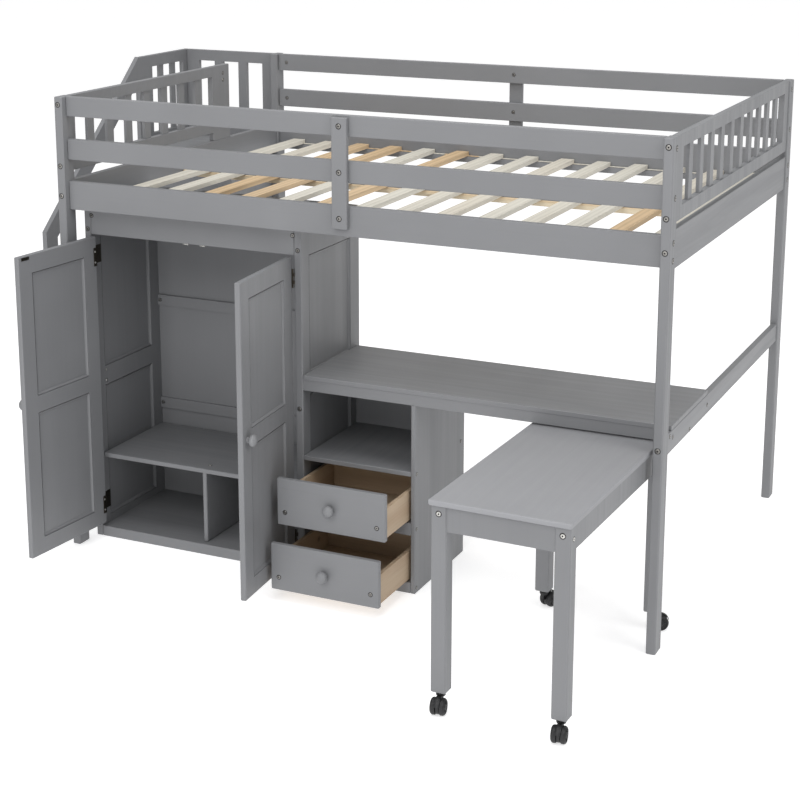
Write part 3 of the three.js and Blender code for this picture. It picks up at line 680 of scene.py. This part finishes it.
for side in ("left", "right"):
    low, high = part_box(f"wardrobe_side_{side}")
    bm = bmesh.new()
    for x, way in ((low.x, -1), (high.x, 1)):
        across = spread(low.y + SIDE_FRONT_STILE, high.y - SIDE_BACK_STILE, way)
        for upward in SIDE_FIELDS[side]:
            bead(bm, facing((way, 0, 0)), across, upward, way * x, SIDE_RECESS)
    piece(f"wardrobe_side_mouldings_{side}", bm, grey_z, "frame", extra=(groove_shade,))


# ---------------------------------------------------------------- hinges, catches and strikes

HINGE_HIGH, HINGE_FEET = 0.060, (0.090, 0.944)
KNUCKLES, KNUCKLE_GAP = 5, 0.0006
KNUCKLE, KNUCKLE_ROUND = 0.0024, 0.0006
PIN_FORWARD = 0.0026
LEAF, LEAF_WIDE, EDGE_LEAF = 0.0014, 0.014, 0.0006
CASE_LEAF, CASE_LEAF_FROM, CASE_LEAF_TO = 0.0007, 0.001, 0.052
LEAF_SCREW_INSET, LEAF_SCREW_ACROSS = 0.012, 0.0075
SCREW_DOME = ((0.0, 0.0), (0.0034, 0.0), (0.0026, 0.0009), (0.0, 0.0012))
STRIKE_FROM, STRIKE_TO, STRIKE_THICK = 0.014, 0.048, 0.0012
STRIKE_TOP, STRIKE_FOOT = 0.004, 0.013


def hinge(on_door, on_case, base, turn, pin, way, door, case):
    """One butt hinge. door is (edge x, inner face y) and case is (panel x, front y). way is 1 where the
    door lies to the right of its pin."""
    edge, inner = door
    panel, front = case
    top = base + HINGE_HIGH
    place = Matrix.Translation((pin.x, pin.y - PIN_FORWARD, 0))
    for i in range(KNUCKLES):
        low = base + i * HINGE_HIGH / KNUCKLES
        high = low + HINGE_HIGH / KNUCKLES - KNUCKLE_GAP
        end = KNUCKLE - KNUCKLE_ROUND
        knuckle = [(0.0, low), (end, low), (KNUCKLE, low + KNUCKLE_ROUND),
                   (KNUCKLE, high - KNUCKLE_ROUND), (end, high), (0.0, high)]
        if i % 2:
            lathe(on_door, knuckle, turn @ place, 20)
        else:
            lathe(on_case, knuckle, place, 20)
    slab(on_door, (edge - way * EDGE_LEAF, pin.y - 0.001, base), (edge, inner, top), turn, 0.0002)
    slab(on_door, (edge, inner, base), (edge + way * LEAF_WIDE, inner + LEAF, top), turn)
    for z in (base + LEAF_SCREW_INSET, top - LEAF_SCREW_INSET):
        head = Matrix.Translation((edge + way * LEAF_SCREW_ACROSS, inner + LEAF, z)) @ pointing(BACKWARD)
        lathe(on_door, SCREW_DOME, turn @ head, 16, 1)
    slab(on_case, (panel, front + CASE_LEAF_FROM, base),
         (panel + way * CASE_LEAF, front + CASE_LEAF_TO, top), chamfer=0.0002)


for side, way in (("left", 1), ("right", -1)):
    turn = door_turn(side)
    pin = Vector(joints[f"door_{side}_hinge"]["pos_m"])
    door_low, door_high = local_box(f"wardrobe_door_{side}", turn)
    side_low, side_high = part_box(f"wardrobe_side_{side}")
    edge, free = (door_low.x, door_high.x) if way > 0 else (door_high.x, door_low.x)
    panel = side_high.x if way > 0 else side_low.x
    on_door, on_case = bmesh.new(), bmesh.new()
    for base in HINGE_FEET:
        hinge(on_door, on_case, base, turn, pin, way, (edge, door_high.y), (panel, side_low.y))
    piece(f"hinge_leaves_door_{side}", on_door, dark_metal, f"door_{side}", extra=(steel,))
    piece(f"hinge_leaves_case_{side}", on_case, dark_metal, "frame")
    # strike plate on the inner face, at the top of the free edge
    strike = bmesh.new()
    slab(strike, (free - way * STRIKE_TO, door_high.y, door_high.z - STRIKE_FOOT),
         (free - way * STRIKE_FROM, door_high.y + STRIKE_THICK, door_high.z - STRIKE_TOP), turn)
    piece(f"strike_plate_{side}", strike, dark_metal, f"door_{side}")

# roller catches under the header, either side of where the doors meet
CATCH_ASIDE, CATCH_BACK = 0.031, 0.018
PLATE_THICK, PLATE_SUNK, PLATE_BACK = 0.0014, 0.0002, 0.026
CATCH_HALF, CATCH_HIGH, CATCH_FRONT, CATCH_REAR = 0.010, 0.010, 0.0060, 0.022
ROLLER, ROLLER_HALF, ROLLER_END = 0.0034, 0.006, 0.008
ROLLER_SHAPE = ((0.0, -ROLLER_END), (0.0028, -ROLLER_END), (ROLLER, -ROLLER_HALF),
                (ROLLER, ROLLER_HALF), (0.0028, ROLLER_END), (0.0, ROLLER_END))


def catch(side, way):
    """Plate screwed under the header, the body below it, and a roller at the body's front."""
    x = (head_low.x + head_high.x) / 2 + way * CATCH_ASIDE
    y = head_low.y + CATCH_BACK
    top = head_low.z
    bm = bmesh.new()
    slab(bm, (x - 0.021, y + 0.0003, top - PLATE_THICK), (x + 0.019, y + PLATE_BACK, top + PLATE_SUNK))
    slab(bm, (x - CATCH_HALF, y + CATCH_FRONT, top - CATCH_HIGH),
         (x + CATCH_HALF, y + CATCH_REAR, top - 0.0008), chamfer=0.0012)
    roller = Matrix.Translation((x, y + 0.0052, top - 0.006)) @ pointing(RIGHTWARD)
    lathe(bm, ROLLER_SHAPE, roller, 20)
    piece(f"door_catch_{side}", bm, steel, "frame", smooth=True)


for side, way in (("left", -1), ("right", 1)):
    catch(side, way)


# ---------------------------------------------------------------- screws inside the wardrobe

BACK_SCREW, BACK_SCREW_INSET, BACK_SCREW_HEIGHTS = 0.0048, 0.009, (0.365, 0.7385)
DIVIDER_SCREW, DIVIDER_ACROSS = 0.0045, 0.3923
DIVIDER_FRONT, DIVIDER_BACK = 0.039, 0.060
SIDE_SCREW, SIDE_SCREW_BACK, SIDE_SCREW_HEIGHTS = 0.0042, 0.057, (0.535, 0.571)
wall_low, wall_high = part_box("wardrobe_side_left")
shelf_low, shelf_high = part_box("wardrobe_shelf")
back_low, back_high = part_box("wardrobe_back")
bm = bmesh.new()
for z in BACK_SCREW_HEIGHTS:
    for x in (back_low.x + BACK_SCREW_INSET, back_high.x - BACK_SCREW_INSET):
        socket_bolt(bm, Vector((x, back_low.y, z)), FORWARD, BACK_SCREW)
for y in (shelf_low.y + DIVIDER_FRONT, shelf_high.y - DIVIDER_BACK):
    socket_bolt(bm, Vector((shelf_low.x + DIVIDER_ACROSS, y, shelf_high.z)), UP, DIVIDER_SCREW)
for z in SIDE_SCREW_HEIGHTS:
    socket_bolt(bm, Vector((wall_high.x, wall_low.y + SIDE_SCREW_BACK, z)), RIGHTWARD, SIDE_SCREW)
piece("wardrobe_inner_screws", bm, steel, "frame", smooth=True, extra=(socket_shade,))


# ---------------------------------------------------------------- rolling table

# the table stands at an angle, so its pieces are laid out square and then turned with it
spine = (Vector(joints["caster_rear_left_swivel"]["pos_m"])
         - Vector(joints["caster_front_left_swivel"]["pos_m"]))
table_turn = Matrix.Rotation(math.atan2(spine.y, spine.x) - math.pi / 2, 4, "Z")
leg_low, leg_high = local_box("table_frame", table_turn)
LEG = 0.044
LEG_BOLT, LEG_SIDE_BOLT = 0.0066, 0.0055
LEG_BOLT_DROP, LEG_SIDE_DROP = 0.024, 0.036

bm = bmesh.new()
for across in (-1, 1):
    for along in (-1, 1):
        flank = leg_low.x if across < 0 else leg_high.x
        end = leg_low.y if along < 0 else leg_high.y
        x = flank - across * LEG / 2
        y = end - along * LEG / 2
        for at, direction, radius in (
                ((x, end, leg_high.z - LEG_BOLT_DROP), (0, along, 0), LEG_BOLT),
                ((flank, y, leg_high.z - LEG_SIDE_DROP), (across, 0, 0), LEG_SIDE_BOLT)):
            socket_bolt(bm, table_turn @ Vector(at), table_turn.to_3x3() @ Vector(direction), radius)
piece("table_leg_bolts", bm, steel, "rolling_table", smooth=True, extra=(socket_shade,))


# ---------------------------------------------------------------- casters

HOOD_FROM, HOOD_TO, HOOD_STEPS = 18, 150, 26  # degrees up from the level on the trailing side
HOOD_HALF, HOOD_INNER, HOOD_OUTER = 0.0072, 0.0014, 0.0036
WEB_HALF = 0.0052
WHEEL_INSIDE, WHEEL_OUTSIDE = 0.0062, 0.0205
AXLE, AXLE_SIDES = 0.0036, 20
RIBS, RIB_HALF = 6, 0.0012
BOSS_TOP = 0.0058


def caster_axes(place):
    """Local x along the axle, y on the trailing side and z up, from the wheels' centre; its radius,
    which is the centre's height over the floor; and how far the wheels trail the stem."""
    stem = Vector(joints[f"caster_{place}_swivel"]["pos_m"])
    axle = Vector(joints[f"wheels_{place}_spin"]["pos_m"])
    trail = Vector((axle.x - stem.x, axle.y - stem.y, 0))
    back = trail.normalized()
    side = Vector(UP).cross(back)
    basis = Matrix((
        (side.x, back.x, 0, axle.x),
        (side.y, back.y, 0, axle.y),
        (side.z, back.z, 1, axle.z),
        (0, 0, 0, 1),
    ))
    return basis, axle.z, trail.length


def caster_hood(place, basis, radius, trail):
    """An arched band over the wheels, the web between them, and the boss under the stem."""
    bm = bmesh.new()
    inner, outer = radius + HOOD_INNER, radius + HOOD_OUTER
    shoulder = 0.0012
    section = ((-HOOD_HALF, inner), (HOOD_HALF, inner), (HOOD_HALF, outer - shoulder),
               (HOOD_HALF - 0.0016, outer), (-HOOD_HALF + 0.0016, outer), (-HOOD_HALF, outer - shoulder))
    loops = []
    for i in range(HOOD_STEPS + 1):
        turn = math.radians(HOOD_FROM + (HOOD_TO - HOOD_FROM) * i / HOOD_STEPS)
        y, z = math.cos(turn), math.sin(turn)
        loops.append([bm.verts.new(basis @ Vector((x, y * reach, z * reach))) for x, reach in section])
    for a, b in zip(loops, loops[1:]):
        for i in range(len(section)):
            j = (i + 1) % len(section)
            bm.faces.new((a[i], a[j], b[j], b[i]))
    bm.faces.new(loops[0])
    bm.faces.new(loops[-1])
    web = ((0.0, -WEB_HALF), (radius - 0.004, -WEB_HALF), (radius - 0.003, -0.004),
           (radius - 0.003, 0.004), (radius - 0.004, WEB_HALF), (0.0, WEB_HALF))
    lathe(bm, web, basis @ pointing(RIGHTWARD), 40)
    slab(bm, (-WEB_HALF, -trail - 0.009, 0.004), (WEB_HALF, -0.002, radius + 0.002), basis, 0.0010)
    boss = ((0.0, radius - 0.002), (0.0125, radius - 0.002), (0.0135, radius), (0.0135, radius + 0.0042),
            (0.0120, radius + BOSS_TOP), (0.0, radius + BOSS_TOP))
    lathe(bm, boss, basis @ Matrix.Translation((0, -trail, 0)), 32)
    hood = piece(f"caster_hood_{place}", bm, black, f"caster_{place}", smooth=True)
    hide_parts(f"caster_housing_{place}")


def caster_stem(place, basis, radius, trail):
    """Plated stem and the round plate under the leg. basis puts heights over the axle."""
    bm = bmesh.new()
    top = leg_low.z - radius - 0.0002
    foot, plate = radius + BOSS_TOP, top - 0.0016
    axis = basis @ Matrix.Translation((0, -trail, 0))
    lathe(bm, ((0.0, foot), (0.0050, foot), (0.0050, plate), (0.0, plate)), axis, 24)
    lathe(bm, ((0.0, plate), (0.0165, plate), (0.0170, top - 0.0010), (0.0170, top), (0.0, top)), axis, 32)
    piece(f"caster_stem_{place}", bm, steel, f"caster_{place}", smooth=True)


def caster_wheels(place, basis, radius):
    """Two dished wheels with grooved treads and ribs, on one axle."""
    bm = bmesh.new()
    inside, outside = WHEEL_INSIDE, WHEEL_OUTSIDE
    tread = [(radius - 0.0018, inside), (radius - 0.0004, inside + 0.0016), (radius, inside + 0.0032),
             (radius - 0.0007, inside + 0.0048), (radius, inside + 0.0066),
             (radius - 0.0006, outside - 0.0048), (radius - 0.0024, outside - 0.0018),
             (radius - 0.0050, outside)]
    dish = [(radius - 0.0076, outside - 0.0026), (0.0086, outside - 0.0030), (0.0072, outside - 0.0008)]
    hub = [(0.0040, outside + 0.0004), (0.0, outside + 0.0004)]
    for way in (-1, 1):
        wheel = basis @ pointing((way, 0, 0))
        lathe(bm, [(0.0, inside)] + tread + dish + hub, wheel, 48)
        for k in range(RIBS):
            rib = wheel @ Matrix.Rotation(2 * math.pi * k / RIBS, 4, "Z")
            slab(bm, (0.0070, -RIB_HALF, outside - 0.0042), (radius - 0.0066, RIB_HALF, outside - 0.0012),
                 rib, 0.0003)
    axle = ((0.0, -inside), (AXLE, -inside), (AXLE, inside), (0.0, inside))
    lathe(bm, axle, basis @ pointing(RIGHTWARD), AXLE_SIDES)
    wheels = piece(f"caster_wheel_pair_{place}", bm, tyre_black, f"wheels_{place}",
                   smooth=True)
    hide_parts(f"caster_wheels_{place}")


for place in ("front_left", "front_right", "rear_left", "rear_right"):
    basis, radius, trail = caster_axes(place)
    caster_hood(place, basis, radius, trail)
    caster_stem(place, basis, radius, trail)
    caster_wheels(place, basis, radius)


# ---------------------------------------------------------------- floor, light and camera

FLOOR_HALF, FLOOR_GLOW = 60.0, 0.58
FLOOR_TONE = (0.74, 0.74, 0.745)
WHITE = (1.0, 1.0, 1.0, 1.0)
BACKDROP = 0.56

floor_mesh = bmesh.new()
bmesh.ops.create_grid(floor_mesh, x_segments=4, y_segments=4, size=FLOOR_HALF)
floor_data = bpy.data.meshes.new("floor")
floor_mesh.to_mesh(floor_data)
floor_mesh.free()
floor = bpy.data.objects.new("floor", floor_data)
bpy.context.scene.collection.objects.link(floor)
floor_graph = Graph("floor_white")
floor_data.materials.append(floor_graph.finish(shade(FLOOR_TONE), 0.9, specular=0.1))
floor_graph.shader.inputs["Emission Color"].default_value = WHITE
floor_graph.shader.inputs["Emission Strength"].default_value = FLOOR_GLOW
floor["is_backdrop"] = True

world = bpy.data.worlds.new("studio")
bpy.context.scene.world = world
world.use_nodes = True
backdrop = world.node_tree.nodes["Background"]
backdrop.inputs["Color"].default_value = WHITE
backdrop.inputs["Strength"].default_value = BACKDROP


def area_light(name, offset, width, height, power):
    """A soft box that looks at the middle of the bed. offset is from there, with z over the floor."""
    at = Vector((middle.x + offset[0], middle.y + offset[1], offset[2]))
    data = bpy.data.lights.new(name, "AREA")
    data.shape = "RECTANGLE"
    data.size, data.size_y = width, height
    data.energy = power
    obj = bpy.data.objects.new(name, data)
    obj.location = at
    obj.rotation_euler = (middle - at).to_track_quat("-Z", "Y").to_euler()
    bpy.context.scene.collection.objects.link(obj)


middle = (cad_low + cad_high) / 2
area_light("key", (0.4, -5.0, 4.4), 3.6, 2.6, 105)
area_light("side", (5.0, -1.6, 4.6), 3.0, 2.0, 95)
area_light("fill", (0.6, -6.4, 1.3), 4.0, 1.8, 50)
area_light("overhead", (0.0, -0.6, 5.2), 4.0, 3.4, 120)

# a long lens in front of the bed and to its right, looking back to the left and slightly down
CAMERA_FROM_CORNER = (3.2961, -4.5120, 2.2223)  # from the foot of the front left post
CAMERA_DOWN, CAMERA_ROLL, CAMERA_TURN = 13.209, -0.043, 24.947  # degrees
camera_data = bpy.data.cameras.new("camera")
camera_data.lens = 78.3
camera_data.sensor_width = 36.0
camera_data.shift_x = 0.0038
camera_data.shift_y = -0.16
camera_data.clip_end = 200.0
camera = bpy.data.objects.new("camera", camera_data)
bpy.context.scene.collection.objects.link(camera)
bpy.context.scene.camera = camera
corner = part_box("post_front_left")[0]
camera.location = [foot + reach for foot, reach in zip(corner, CAMERA_FROM_CORNER)]
camera.rotation_euler = [math.radians(angle) for angle in (90 - CAMERA_DOWN, CAMERA_ROLL, CAMERA_TURN)]
scene = bpy.context.scene
scene.view_settings.view_transform = "Standard"
scene.view_settings.look = "None"

low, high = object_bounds()
